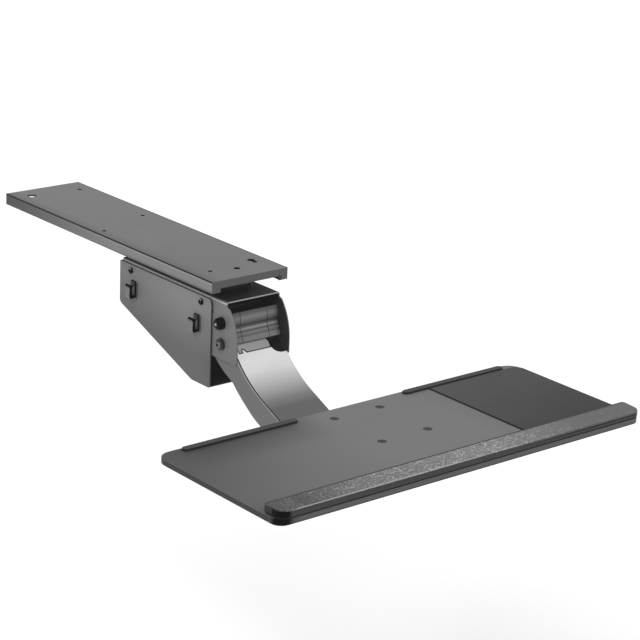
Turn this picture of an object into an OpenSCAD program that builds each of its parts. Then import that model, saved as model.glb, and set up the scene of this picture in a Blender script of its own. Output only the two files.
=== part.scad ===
// Keyboard tray for the underside of a desk: a steel track, a carriage that slides in it,
// a bracket that swivels below the carriage, a lift arm with a parallel link, and the tray.
// The origin is the centre of the track's top face, +Y points back under the desk, +Z up.

/* [Track] */
// Length of the track along the slide
track_length = 538; // [480:2:640]
// Width of the track over its side walls
track_width = 134; // [128:1:146]
// Height of the track from the desk face to the underside of its lips
track_height = 17; // [15.5:0.5:19]
// Thickness of the track's steel
track_wall = 2; // [1.6:0.1:2.4]
// Width of each returned lip, over the side wall
lip_width = 13.5; // [10:0.5:15]
// Height of the stop lip bent down at the front end, between its two end tabs
stop_lip_height = 11; // [10:0.5:14]
// Width of each end tab, which closes the front of a side channel
end_tab_width = 15; // [11:0.5:18]
// Diameter of the holes for the desk screws
screw_hole_d = 5; // [4:0.1:6]
// Length of the keyhole's slot near the front end
key_slot_length = 12; // [9:0.5:15]
// Diameter of the wide hole near the back end
wide_hole_d = 12.5; // [10:0.5:14]
// Thickness of the rubber stops at the back end
rear_stop_depth = 10; // [6:1:16]

/* [Carriage] */
// Length of the carriage plate along the slide
carriage_length = 130; // [110:2:150]
// Thickness of the carriage plate
carriage_plate_t = 3; // [2.5:0.1:3.5]
// Play between the glide shoes and the track
slide_play = 0.3; // [0.2:0.05:0.4]
// Width of a glide shoe
shoe_width = 12; // [10:0.5:13]
// Length of a glide shoe
shoe_length = 30; // [20:1:40]
// Diameter of the spacer between carriage and bracket
swivel_spacer_d = 80; // [60:1:90]
// Diameter of the swivel bolt
swivel_bolt_d = 12; // [10:0.5:14]
// Thickness of the nylon swivel washer
swivel_washer_t = 3; // [2:0.5:4]

/* [Bracket] */
// Height of the bracket's top face below the desk face
bracket_drop = 30.4; // [29:0.1:33]
// Width of the bracket over its cheeks
bracket_width = 94.8; // [92:0.2:98]
// Thickness of the bracket's steel
bracket_t = 2; // [1.8:0.1:2.2]
// Outer radius of the bends between top plate and cheeks
bracket_bend_r = 3.5; // [3:0.1:5]
// Distance of the upper pivot behind the front of the cheeks
pivot_setback = 35.9; // [34:0.1:38]
// Height of the upper pivot below the bracket's top face
pivot_drop = 33.1; // [32:0.1:35]
// Distance between the upper and the lower pivot
pivot_spacing = 31.2; // [30.4:0.1:32]
// Height of the cheeks below the bracket's top face
cheek_height = 87.4; // [86:0.2:92]
// Radius of the cheeks' front curve
cheek_curve_r = 86; // [80:1:95]
// Diameter of the upper axle
upper_axle_d = 10; // [9:0.1:10.6]
// Diameter of the round caps of the upper axle
axle_cap_d = 18; // [16:0.5:20]
// Length that the caps stand out of the cheeks
axle_cap_length = 11; // [9:0.5:13]
// Diameter of the lower pivot bolt
lower_bolt_d = 8; // [7:0.1:8.4]
// Diameter of the dark flanges of the lower bolt
pivot_flange_d = 17; // [14:0.5:20]

/* [Bracket cover] */
// Wall of the moulded cover behind the cheeks
cover_wall = 2.2; // [1.8:0.1:2.6]
// Play between the cover and the cheeks inside it
cover_play = 0.8; // [0.6:0.1:1.2]
// Length of the cover from its open front to its back
cover_length = 225.5; // [215:0.5:240]
// Depth of the cover at its front, below its top edge
cover_depth = 132; // [125:1:140]
// Depth of the cover at its back
cover_back_depth = 64; // [58:1:75]
// Length of the level part of the cover's underside
cover_level_length = 43.5; // [36:0.5:55]
// Diameter of the cover screws' heads
cover_screw_head_d = 9.5; // [8.5:0.1:10.5]
// Width of a cable clip along the cover
clip_width = 11; // [9:0.5:14]
// Height of a cable clip
clip_height = 26; // [24:0.5:30]

/* [Lift arm] */
// Distance between the pivots at the two ends of the arm, level measure
arm_reach = 232.2; // [228:0.2:244]
// Height of the arm's front pivot below its upper pivot at rest
arm_drop = 131.5; // [130:0.5:136]
// Lift of the arm from rest to its upper stop, in degrees
lift_angle = 36; // [34:0.5:36]
// Thickness of the arm's steel
arm_t = 1.8; // [1.6:0.1:1.9]
// Side play between the arm and the cheeks
arm_play = 0.4; // [0.3:0.05:0.6]
// Slope of the arm's skin at its upper end, in degrees
skin_top_angle = 50; // [49:0.5:51]
// Slope of the arm's skin at its lower end, in degrees
skin_end_angle = 23.5; // [22.5:0.5:24.5]
// Radius of the curve between the two slopes
skin_bend_r = 175; // [165:1:185]
// Thickness of the arm's skin
skin_t = 1.2; // [1:0.1:1.4]
// Gap between the skin and the left side plate
skin_side_gap = 2.4; // [1.6:0.1:2.6]
// Depth of the side plates, square to the skin
side_plate_depth = 35; // [32:0.5:38]
// Width of the middle section of the hinge cover
middle_cover_width = 47.2; // [40:0.4:52]
// Gap between the sections of the hinge cover
cover_seam = 0.8; // [0.4:0.1:0.9]
// Wire of the lift springs
spring_wire_d = 2.4; // [2:0.1:2.8]
// Curls of each lift spring
spring_curls = 10; // [8:1:11]

/* [Head] */
// Diameter of the head's two pins
head_pin_d = 8; // [7:0.1:9]
// Thickness of the head bracket's steel
head_t = 2; // [1.6:0.1:2.2]
// Distance of the tilt bolt in front of the head's upper pin
tilt_forward = 30; // [28:0.5:33]
// Height of the tilt bolt above the head's upper pin
tilt_rise = 32; // [30:0.5:33]
// Diameter of the tilt bolt
tilt_bolt_d = 10; // [9:0.1:11]
// Diameter of the tilt knob
tilt_knob_d = 32; // [28:1:36]

/* [Tray] */
// Offset of the tray's middle to the right of the arm's middle
tray_shift = 3.5; // [0:0.5:6]
// Width of the tray
tray_width = 630; // [600:5:720]
// Depth of the tray from back edge to front edge
tray_depth = 256; // [250:2:300]
// Thickness of the tray board
board_t = 7; // [6:0.5:8]
// Corner radius of the board's front and of the palm rest
board_corner_r = 15; // [10:1:28]
// Corner radius of the board's back
board_back_corner_r = 22; // [16:1:28]
// Height of the board's top face above the tilt bolt
tray_rise = 31; // [30:0.5:33]
// Distance of the tilt bolt in front of the tray's back edge
tray_overhang = 51.5; // [49:0.5:54]
// Spacing of the tray screws across the tray
screw_spacing_x = 80.4; // [78:0.2:84]
// Spacing of the tray screws from back to front
screw_spacing_y = 97.8; // [94:0.2:98]
// Distance of the back screws from the tray's back edge
screw_setback = 28.5; // [28:0.1:31]
// Diameter of the tray screws
tray_screw_d = 5; // [4.5:0.1:5.5]
// Diameter of the round recesses for the screw heads
screw_recess_d = 12.5; // [11.5:0.1:13.5]
// Depth of the recesses
screw_recess_depth = 2.6; // [2.4:0.1:3]
// Depth of the palm rest
palm_depth = 36; // [32:1:46]
// Distance of the palm rest's left end from the board's left edge
palm_left_gap = 3.5; // [0:0.5:6]
// Height of the palm rest above the board
palm_height = 12; // [10:0.5:18]
// Thickness of the palm rest's base
palm_base_t = 2.5; // [2:0.1:3]
// Distance of the mouse pad's left edge from the tray's middle
pad_left = 145; // [120:1:180]
// Thickness of the mouse pad
pad_t = 1.5; // [1:0.1:3]
// Height of the back strips
strip_height = 3.5; // [2.5:0.5:6]
// Width of the back strips
strip_width = 11; // [9:0.5:11.5]
// Length of each back strip
strip_length = 188; // [150:1:200]

/* [Hidden] */
$fn = 64;

// Clearance that keeps cut tools past a face, and the play of pieces that turn
over = 1;
running_play = 0.05;
face_play = 0.1;
seat_play = 0.2;

// Colours of the finishes
steel_grey = "#7a7b7b";
dark_steel = "#4b4c4d";
silver = "#c3c4c5";
moulded_grey = "#717273";
black = "#232323";
nylon = "#d9d6cc";
pad_grey = "#555657";
leather_grey = "#8d8e8f";

// Track
track_front = -track_length / 2;
track_back = track_length / 2;
track_inner_x = track_width / 2 - track_wall;
lip_inner_x = track_width / 2 - lip_width;
channel_top = -track_wall;
channel_floor = -(track_height - track_wall);
tab_slit = 0.8;
hole_inset_x = 23;
front_holes_inset = 44;
wide_hole_inset = 33;
back_hole_inset = 39;
middle_hole_gap = 19;
rear_stop_w = lip_width - track_wall - 1;
rear_stop_h = 10;

// Carriage
carriage_gap = 0.5;
carriage_front = track_front + track_wall + carriage_gap;
swivel_y = carriage_front + carriage_length / 2;
shoe_outer_x = track_inner_x - slide_play;
shoe_wall = 3;
carriage_half_w = shoe_outer_x - shoe_wall;
plate_mid_z = (channel_top + channel_floor) / 2;
plate_top = plate_mid_z + carriage_plate_t / 2;
plate_bottom = plate_mid_z - carriage_plate_t / 2;
swivel_head_d = 24;
swivel_head_h = 3.4;
swivel_nut_h = 7;
swivel_nut_across = 19;

// Bracket
bracket_top = -bracket_drop;
bracket_half = bracket_width / 2;
cheek_inner = bracket_half - bracket_t;
upper_y = swivel_y - 66.3;
upper_z = bracket_top - pivot_drop;
lower_z = upper_z - pivot_spacing;
cheek_front = upper_y - pivot_setback;
cheek_bottom = bracket_top - cheek_height;
plate_front = cheek_front + 26.2;
relief_depth = 6.5;
cheek_back_y = upper_y + 22.2;
cover_front = upper_y + 21.5;
cover_back = cover_front + cover_length;
bracket_back = cover_back - cover_wall - cover_play;
flange_back_z = bracket_top - 27;
cheek_curve_top = 9;
pivots = [[upper_y, upper_z], [upper_y, lower_z]];

// Bracket cover
cover_half = bracket_half + cover_play + cover_wall;
cover_inner = bracket_half + cover_play;
cover_top = bracket_top - 4.6;
cover_corner_r = 8;
cover_screw_z = cover_top - 8.5;
cover_screw_y = [cover_front + 23.6, cover_back - 28.6];
cover_screw_d = 4;
cover_screw_hole_play = 0.5;
cover_screw_head_h = 3;
clip_y = [cover_front + 32.8, cover_back - 36.1];
clip_top = [cover_top - 29.2, cover_top - 22.1];
clip_reach = 12;

// Arm: the skin's curve starts where its straight upper end stops
arm_outer_x = cheek_inner - arm_play;
arm_inner_x = arm_outer_x - arm_t;
skin_half = arm_inner_x - skin_side_gap;
front_pivot = [upper_y - arm_reach, upper_z - arm_drop];
front_low_pivot = [front_pivot.x, front_pivot.y - pivot_spacing];
skin_start = [upper_y - 28.2, upper_z - 42.5];
skin_centre = skin_start - skin_bend_r * [sin(skin_top_angle), -cos(skin_top_angle)];
skin_rest_gap = 0.2;
web_t = arm_t;
side_edge_rise = 0.8;

// Slopes along the curve, and how far the side plates' lower edge is drawn in there
side_plate_waist = [
  [24.5, 1.9], [29, 3.6], [34, 4.7], [38.5, 5.3], [41.5, 5.8], [43.5, 4.1], [46.5, 0.5], [48.2, -1.8]
];

skin_end_y = upper_y - 202.2;
arc_steps = 12;
slot_play = 0.6;
hub_r = 14;
front_hub_r = 12;
bush_wall = 2;
end_plate_low = 3.8;
end_plate_high = 19;
end_plate_left = -34.5;
end_plate_right = 20.4;
end_plate_gap = 1.5;
end_plate_notch = 5.6;
neck_r = 17;
neck_top = 9;
spring_pin_d = 6;
spring_rings = 8;
spring_sides = 6;
spring_play = 0.3;
spring_mean_r = (upper_axle_d / 2 + spring_wire_d / 2 + 0.2) / cos(180 / spring_rings);
spring_pitch = spring_wire_d + 0.5;
spring_bar_d = 6;
spring_outer_x = arm_inner_x - 3.2;
spring_pin_drop = spring_mean_r + (spring_wire_d + spring_pin_d) / 2 + spring_play;
spring_bar_rise = spring_mean_r + (spring_wire_d + spring_bar_d) / 2 + spring_play;
spring_pin_at = [upper_y + 16, upper_z - spring_pin_drop];
spring_bar_at = [upper_y + 24, upper_z + spring_bar_rise];
end_cover_outer = arm_inner_x - seat_play;

// Link
link_half_depth = 6.5;
link_offset = 15;
link_t = 2;
link_outer_x = 22;
link_hub_r = 10;
spacer_r = 7;

// Head
head_outer_x = arm_inner_x - 0.6;
head_inner_x = head_outer_x - head_t;
tilt_at = front_pivot + [-tilt_forward, tilt_rise];
tilt_bolt_end = head_outer_x + 14;
tilt_knob_end = tilt_bolt_end + 4.5;
flange_gap = 2.2;
flange_outer_x = head_inner_x - flange_gap;
flange_t = 2;
clip_disc_r = 7;
clip_disc_t = 1.2;

// Tray
tray_top = tilt_at.y + tray_rise;
tray_bottom = tray_top - board_t;
tray_back = tilt_at.x + tray_overhang;
tray_front = tray_back - tray_depth;
tray_half = tray_width / 2;
tray_plate_t = 2.5;
tray_plate_half = screw_spacing_x / 2 + 11.8;
tray_plate_edge = 13;
screw_y = [tray_back - screw_setback, tray_back - screw_setback - screw_spacing_y];
screw_play = 0.2;
screw_head_d = screw_recess_d - 2;
nut_h = 4;
nut_across = 8;
palm_back = tray_front + palm_depth;
palm_inset = 1;
palm_edge_r = 4;
palm_corner_r = 5;
pad_inset = 0.8;
pad_back = tray_back - 14.5;
pad_corner_r = 14;
strip_back = tray_back - 2.5;
left_strip_start = -tray_half + 38.5;
right_strip_end = tray_half - 26.5;

// Cuts a corner b, between a and c, into an arc of radius r
function corner_arc(a, b, c, r, n = 6) =
  let (
    u = (a - b) / norm(a - b),
    v = (c - b) / norm(c - b),
    half = acos(max(-1, min(1, u * v))) / 2,
    centre = b + (u + v) / norm(u + v) * r / sin(half),
    from = b + u * r / tan(half) - centre,
    to = b + v * r / tan(half) - centre,
    start = atan2(from.y, from.x),
    sweep = (atan2(to.y, to.x) - start + 540) % 360 - 180
  )
  [for (i = [0:n]) centre + r * [cos(start + sweep * i / n), sin(start + sweep * i / n)]];

// Outline from corners [x, y, radius]; a radius of 0 keeps the corner sharp
function outline(corners) =
  let (n = len(corners))
  [for (i = [0:n - 1])
    let (
      a = corners[(i + n - 1) % n],
      b = corners[i],
      c = corners[(i + 1) % n]
    )
    each b.z == 0 ? [[b.x, b.y]]
      : corner_arc([a.x, a.y], [b.x, b.y], [c.x, c.y], b.z)];

function reversed(list) = [for (i = [len(list) - 1:-1:0]) list[i]];

// Direction that runs down a slope towards the user, and the way into the arm from it
function along(slope) = [-cos(slope), -sin(slope)];
function inward(slope) = [sin(slope), -cos(slope)];

// Point of the arm's curve at a slope, a depth below the skin's face
function curve_point(slope, depth) = skin_centre + (skin_bend_r + depth) * inward(slope);

// Line along the arm a depth below the skin's face: straight, curved and straight again
function arm_line(depth, top_length, end_length) = concat(
  [curve_point(skin_top_angle, depth) - top_length * along(skin_top_angle)],
  [for (i = [0:arc_steps])
    curve_point(skin_top_angle + (skin_end_angle - skin_top_angle) * i / arc_steps, depth)],
  [curve_point(skin_end_angle, depth) + end_length * along(skin_end_angle)]
);

// Straight length past the curve that brings a depth's line to a given y
function end_length_to(y, depth) = (curve_point(skin_end_angle, depth).x - y) / cos(skin_end_angle);

// Puts a side view, drawn in y and z, across the part from x0 to x1
module across(x0, x1) {
  translate([x0, 0, 0])
    rotate([90, 0, 90])
      linear_extrude(height = x1 - x0)
        children();
}

// The same side view on the left and on the right, from inner to outer x
module both_sides(inner_x, outer_x) {
  across(inner_x, outer_x)
    children();
  across(-outer_x, -inner_x)
    children();
}

// Puts an end view, drawn in x and z, along the part from y0 to y1
module lengthwise(y0, y1) {
  translate([0, y1, 0])
    rotate([90, 0, 0])
      linear_extrude(height = y1 - y0)
        children();
}

// Round bar or bore across the part at a side view's point
module cross_bar(at, r, x0, x1) {
  translate([x0, at.x, at.y])
    rotate([0, 90, 0])
      cylinder(h = x1 - x0, r = r);
}

// Tube across the part
module cross_tube(at, r_out, r_in, x0, x1) {
  difference() {
    cross_bar(at, r_out, x0, x1);
    cross_bar(at, r_in, x0 - over, x1 + over);
  }
}

// Six-sided nut across the part, with a round bore
module cross_nut(at, across_flats, r_in, x0, x1) {
  difference() {
    translate([x0, at.x, at.y])
      rotate([0, 90, 0])
        cylinder(h = x1 - x0, r = across_flats / 2 / cos(30), $fn = 6);
    cross_bar(at, r_in, x0 - over, x1 + over);
  }
}

// Disc on a side view
module disc_at(at, r) {
  translate(at)
    circle(r = r);
}

// Upright round hole or pin
module upright(x, y, r, z0, z1) {
  translate([x, y, z0])
    cylinder(h = z1 - z0, r = r);
}

// Places children in the plane of the skin's upper end: y runs up the slope, z out of the face
module on_skin_plane() {
  translate([0, skin_start.x, skin_start.y])
    rotate([skin_top_angle, 0, 0])
      children();
}

module track_channel() {
  hole_x = track_width / 2 - hole_inset_x;
  color(steel_grey)
  difference() {
    union() {
      lengthwise(track_front, track_back)
        difference() {
          translate([-track_width / 2, -track_height])
            square([track_width, track_height]);
          translate([-track_inner_x, channel_floor])
            square([2 * track_inner_x, channel_top - channel_floor]);
          translate([-lip_inner_x, -track_height - over])
            square([2 * lip_inner_x, track_height - track_wall + over]);
        }
      translate([-track_width / 2, track_front, -stop_lip_height])
        cube([track_width, track_wall, stop_lip_height]);
      for (side = [-1, 1])
        translate([side * (track_width - end_tab_width) / 2 - end_tab_width / 2, track_front, -track_height])
          cube([end_tab_width, track_wall, track_height]);
    }
    translate([track_width / 2 - end_tab_width, track_front - over, -stop_lip_height - over])
      cube([tab_slit, track_wall + over, stop_lip_height + over - track_wall - 1.5]);
    upright(-hole_x + 6, track_front + front_holes_inset, screw_hole_d / 2, -2 * track_wall, over);
    upright(2.7, track_front + front_holes_inset - 9, screw_hole_d * 0.8, -2 * track_wall, over);
    upright(hole_x, track_front + front_holes_inset + key_slot_length, screw_hole_d * 0.95, -2 * track_wall, over);
    translate([hole_x - screw_hole_d / 2, track_front + front_holes_inset, -2 * track_wall])
      cube([screw_hole_d, key_slot_length, 2 * track_wall + over]);
    upright(-hole_x - 8, middle_hole_gap, screw_hole_d / 2, -2 * track_wall, over);
    upright(hole_x, 3 * middle_hole_gap, screw_hole_d / 2, -2 * track_wall, over);
    upright(hole_x, track_back - back_hole_inset, screw_hole_d / 2, -2 * track_wall, over);
    upright(-hole_x + 3.5, track_back - wide_hole_inset, wide_hole_d / 2, -2 * track_wall, over);
  }
}

module rear_stops() {
  color(black)
  for (side = [-1, 1])
    translate([side * (track_inner_x - rear_stop_w / 2), track_back - rear_stop_depth / 2, channel_floor])
      translate([-rear_stop_w / 2, -rear_stop_depth / 2, 0])
        cube([rear_stop_w, rear_stop_depth, rear_stop_h]);
}

module carriage_plate() {
  color(dark_steel)
  difference() {
    translate([-carriage_half_w, carriage_front, plate_bottom])
      cube([2 * carriage_half_w, carriage_length, carriage_plate_t]);
    upright(0, swivel_y, swivel_bolt_d / 2, plate_bottom - over, plate_top + over);
  }
}

module glide_shoes() {
  shoe_bottom = channel_floor + slide_play;
  shoe_top = channel_top - slide_play;
  color(nylon)
  for (side = [-1, 1], y = [carriage_front, carriage_front + carriage_length - shoe_length])
    difference() {
      translate([side * (shoe_outer_x - shoe_width / 2) - shoe_width / 2, y, shoe_bottom])
        cube([shoe_width, shoe_length, shoe_top - shoe_bottom]);
      translate([-carriage_half_w, y - over, plate_bottom])
        cube([2 * carriage_half_w, shoe_length + 2 * over, carriage_plate_t]);
    }
}

module swivel_spacer() {
  color(dark_steel)
  difference() {
    upright(0, swivel_y, swivel_spacer_d / 2, bracket_top + swivel_washer_t, plate_bottom);
    upright(0, swivel_y, swivel_bolt_d / 2, bracket_top, plate_bottom + over);
  }
}

module swivel_bolt() {
  color(silver)
  union() {
    upright(0, swivel_y, swivel_bolt_d / 2, bracket_top - bracket_t - swivel_nut_h - 2, plate_top);
    upright(0, swivel_y, swivel_head_d / 2, plate_top, plate_top + swivel_head_h);
  }
}

module swivel_nut() {
  top = bracket_top - bracket_t - face_play;
  color(silver)
  difference() {
    translate([0, swivel_y, top - swivel_nut_h])
      cylinder(h = swivel_nut_h, r = swivel_nut_across / 2 / cos(30), $fn = 6);
    upright(0, swivel_y, swivel_bolt_d / 2, top - swivel_nut_h - over, top + over);
  }
}

module swivel_washer() {
  color(nylon)
  difference() {
    upright(0, swivel_y, swivel_spacer_d / 2 + 2, bracket_top, bracket_top + swivel_washer_t);
    upright(0, swivel_y, swivel_bolt_d / 2 + running_play, bracket_top - over, bracket_top + swivel_washer_t + over);
  }
}

// Front curve of a cheek, from its top end down to where it stands upright
function cheek_curve() =
  let (
    curve_z = lower_z,
    top_angle = asin((bracket_top - cheek_curve_top - curve_z) / cheek_curve_r)
  )
  [for (i = [0:arc_steps])
    let (a = top_angle * (1 - i / arc_steps))
    [cheek_front + cheek_curve_r * (1 - cos(a)), curve_z + cheek_curve_r * sin(a)]];

function cheek_corner() =
  corner_arc([cheek_front, lower_z], [cheek_front, cheek_bottom + 0.8], [cheek_back_y, cheek_bottom], 5);

function bracket_side() = concat(
  [[plate_front, bracket_top], [plate_front, bracket_top - relief_depth],
    [plate_front - 3, bracket_top - relief_depth - 1.6]],
  cheek_curve(),
  cheek_corner(),
  [[cheek_back_y, cheek_bottom], [cheek_back_y + 14, cheek_bottom + 7],
    [bracket_back - 6, flange_back_z], [bracket_back, flange_back_z + 6], [bracket_back, bracket_top]]
);

// End view of the folded sheet: a top plate with a cheek on each side and rounded bends
module folded_end(half, t, r, top, bottom) {
  difference() {
    folded_blank(half, r, top, bottom);
    folded_blank(half - t, r - t, top - t, bottom - over);
  }
}

module folded_blank(half, r, top, bottom) {
  translate([-half, bottom])
    square([2 * half, top - r - bottom]);
  translate([-half + r, bottom])
    square([2 * (half - r), top - bottom]);
  for (side = [-1, 1])
    disc_at([side * (half - r), top - r], r);
}

module mechanism_bracket() {
  color(steel_grey)
  difference() {
    intersection() {
      lengthwise(cheek_front - over, bracket_back + over)
        folded_end(bracket_half, bracket_t, bracket_bend_r, bracket_top, cheek_bottom - over);
      across(-bracket_half - over, bracket_half + over)
        polygon(bracket_side());
    }
    upright(0, swivel_y, swivel_bolt_d / 2 + running_play, bracket_top - 2 * bracket_t, bracket_top + over);
    cross_bar(pivots[0], upper_axle_d / 2, -bracket_half - over, bracket_half + over);
    cross_bar(pivots[1], lower_bolt_d / 2, -bracket_half - over, bracket_half + over);
    cross_bar(spring_bar_at, spring_bar_d / 2, -bracket_half - over, bracket_half + over);
    for (y = cover_screw_y)
      cross_bar([y, cover_screw_z], cover_screw_d / 2, -bracket_half - over, bracket_half + over);
  }
}

function cover_side(inset) = outline([
  [cover_front - (inset > 0 ? over : 0), cover_top + (inset > 0 ? over : 0), inset > 0 ? 0 : cover_corner_r],
  [cover_front - (inset > 0 ? over : 0), cover_top - cover_depth + inset, inset > 0 ? 0 : 3],
  [cover_front + cover_level_length, cover_top - cover_depth + inset, 12],
  [cover_back - inset, cover_top - cover_back_depth + inset, 8 - inset],
  [cover_back - inset, cover_top + (inset > 0 ? over : 0), 0]
]);

module bracket_cover() {
  color(moulded_grey)
  difference() {
    across(-cover_half, cover_half)
      polygon(cover_side(0));
    across(-cover_inner, cover_inner)
      polygon(cover_side(cover_wall));
    for (y = cover_screw_y)
      cross_bar([y, cover_screw_z], cover_screw_d / 2 + cover_screw_hole_play, -cover_half - over, cover_half + over);
  }
}

// Screw whose head lies on a face at x, with its shank towards the middle; side is -1 or 1
module cover_screw(side, y) {
  head_r = cover_screw_head_d / 2;
  translate([side * cover_half, y, cover_screw_z])
    rotate([0, side * 90, 0])
      difference() {
        rotate_extrude()
          polygon(concat(
            [[0, -(cover_half - bracket_half) - bracket_t - 3],
              [cover_screw_d / 2, -(cover_half - bracket_half) - bracket_t - 3],
              [cover_screw_d / 2, 0], [head_r, 0]],
            corner_arc([head_r, 0], [head_r, cover_screw_head_h], [0, cover_screw_head_h], 1.8),
            [[0, cover_screw_head_h]]
          ));
        for (turn = [0, 90])
          rotate([0, 0, turn])
            translate([-2.4, -0.5, cover_screw_head_h - 1.4])
              cube([4.8, 1, 2]);
      }
}

module cover_screws() {
  color(silver)
  for (side = [-1, 1], y = cover_screw_y)
    cover_screw(side, y);
}

// End view of a cable clip: a tall backplate, a closed foot and a springy tongue with a two-sided barb
function clip_end(top) =
  let (
    low = top - clip_height,
    wall = -cover_half,
    tip = -cover_half - clip_reach
  )
  outline([
    [wall, low + 1, 0], [wall, top, 0], [wall - 2.4, top - 0.6, 1], [wall - 2.4, low + 4, 1.6],
    [tip + 4.6, low + 4, 1.6], [tip + 4.6, top - 10, 0], [tip + 6.6, top - 7, 0.4],
    [tip + 2, top - 4, 0.6], [tip - 1.4, top - 6.6, 0.3], [tip + 0.6, top - 8.6, 0.5],
    [tip, low + 5, 3], [tip + 1.6, low, 3]
  ]);

module cable_clips() {
  color(black)
  for (i = [0, 1])
    lengthwise(clip_y[i] - clip_width / 2, clip_y[i] + clip_width / 2)
      polygon(clip_end(clip_top[i]));
}

module upper_axle() {
  tip = bracket_half + axle_cap_length + 0.2;
  color(silver)
  union() {
    cross_bar(pivots[0], upper_axle_d / 2, -bracket_half - 4, bracket_half + 4);
    cross_bar(pivots[0], 2, -tip, tip);
  }
}

module axle_caps() {
  cap_r = axle_cap_d / 2;
  color(black)
  for (side = [-1, 1])
    translate([side * bracket_half, pivots[0].x, pivots[0].y])
      rotate([0, side * 90, 0])
        rotate_extrude()
          polygon(concat(
            [[upper_axle_d / 2, 0]],
            [[cap_r, 0], [cap_r, 3]],
            corner_arc([cap_r, 3], [cap_r - 0.6, axle_cap_length], [2, axle_cap_length], 5, 8),
            [[2, axle_cap_length], [2, 4], [upper_axle_d / 2, 4]]
          ));
}

module lower_pivot_bolt() {
  head_face = bracket_half + 4;
  color(silver)
  difference() {
    union() {
      cross_bar(pivots[1], lower_bolt_d / 2, -head_face, bracket_half + 12.5);
      translate([-head_face, pivots[1].x, pivots[1].y])
        rotate([0, -90, 0])
          rotate_extrude()
            polygon(concat(
              [[0, 0], [5.6, 0]],
              corner_arc([5.6, 0], [5.4, 3.6], [0, 3.6], 2.2),
              [[0, 3.6]]
            ));
    }
    translate([-head_face - 3.6 - over, pivots[1].x, pivots[1].y])
      rotate([0, 90, 0])
        cylinder(h = 3 + over, r = 2.9, $fn = 6);
  }
}

module lower_pivot_nut() {
  color(silver)
  cross_nut(pivots[1], 13, lower_bolt_d / 2, bracket_half + 4, bracket_half + 10.5);
}

module pivot_flanges() {
  color(dark_steel)
  for (x = [-bracket_half - 4, bracket_half])
    cross_tube(pivots[1], pivot_flange_d / 2, lower_bolt_d / 2, x, x + 4);
}

module lower_spacers() {
  color(dark_steel)
  union() {
    cross_tube(pivots[1], spacer_r, lower_bolt_d / 2,
      -link_outer_x + link_t + seat_play, link_outer_x - link_t - seat_play);
    for (side = [-1, 1])
      translate([side * (link_outer_x + arm_inner_x) / 2, 0, 0])
        cross_tube(pivots[1], spacer_r, lower_bolt_d / 2,
          -(arm_inner_x - link_outer_x) / 2 + seat_play, (arm_inner_x - link_outer_x) / 2 - seat_play);
  }
}

module spring_bar() {
  color(silver)
  cross_bar(spring_bar_at, spring_bar_d / 2, -bracket_half, bracket_half);
}

// Path of a lift spring: a leg on the arm's pin, the curls round the axle, a leg under the bar
spring_turns = spring_curls + 0.5;
spring_inner_x = spring_outer_x - spring_turns * spring_pitch;
spring_steps = round(spring_turns * spring_rings);
inner_leg = spring_pin_at.x - upper_y + 4;
outer_leg = spring_bar_at.x - upper_y + 4;
function spring_path() = concat(
  [[spring_inner_x, inner_leg, -spring_mean_r]],
  [for (i = [0:spring_steps])
    let (a = -90 - i * 360 / spring_rings)
    [spring_inner_x + i * spring_pitch / spring_rings, spring_mean_r * cos(a), spring_mean_r * sin(a)]],
  [[spring_outer_x, outer_leg, spring_mean_r]]
);

// Least distance between the wire's surface at points of a path that lie half a curl or more apart
function least_gap(path) = min([
  for (i = [0:len(path) - 1], j = [i + spring_rings / 2:1:len(path) - 1])
    norm(path[i] - path[j])
]) - spring_wire_d;

module lift_springs() {
  echo(str("least gap of a spring to itself, mm: ", least_gap(spring_path())));
  color(silver)
  for (side = [-1, 1])
    translate([0, pivots[0].x, pivots[0].y])
      scale([side, 1, 1])
        tube_along(spring_path(), spring_wire_d / 2, spring_sides);
}

// Tube of n sides that follows a path of points
module tube_along(path, r, n) {
  count = len(path);
  frames = [for (i = [0:count - 1])
    let (
      t = path[min(i + 1, count - 1)] - path[max(i - 1, 0)],
      dir = t / norm(t),
      side = cross(dir, [1, 0, 0]),
      u = side / norm(side),
      v = cross(dir, u)
    )
    [u, v]];
  points = [for (i = [0:count - 1], k = [0:n - 1])
    path[i] + r * (cos(k * 360 / n) * frames[i][0] + sin(k * 360 / n) * frames[i][1])];
  walls = [for (i = [0:count - 2], k = [0:n - 1])
    let (
      a = i * n + k,
      b = i * n + (k + 1) % n
    )
    each [[a, b, b + n], [a, b + n, a + n]]];
  first = [for (k = [1:n - 2]) [0, k + 1, k]];
  last = [for (k = [1:n - 2]) [(count - 1) * n, (count - 1) * n + k, (count - 1) * n + k + 1]];
  polyhedron(points = points, faces = concat(walls, first, last));
}

// Side view of an arm plate, with an ear round each pivot; its edge stands out past the skin by rise
function side_plate(rise) =
  let (
    p = pivots[0],
    q = front_pivot,
    tail = end_length_to(upper_y - 195, side_plate_depth)
  )
  concat(
    [[p.x - 9, p.y + 9], [p.x - 10, p.y - 6], [p.x - 13, p.y - 20]],
    arm_line(-rise, 12, end_length_to(skin_end_y, 0)),
    [[q.x + 14, q.y + 12], [q.x, q.y + 6], [q.x, q.y - 6], [q.x + 12, q.y - 16]],
    [arm_line(side_plate_depth, 0, tail)[arc_steps + 2]],
    [for (w = side_plate_waist) curve_point(w[0], side_plate_depth - w[1])],
    outline([
      [p.x + 5, p.y - 65.2, 0], [p.x + 15, p.y - 58, 6], [p.x + 29, p.y - 36, 8],
      [p.x + 29, p.y - 10, 8], [p.x + 20, p.y + 5, 5], [p.x + 6, p.y + 9, 0]
    ])
  );

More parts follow.
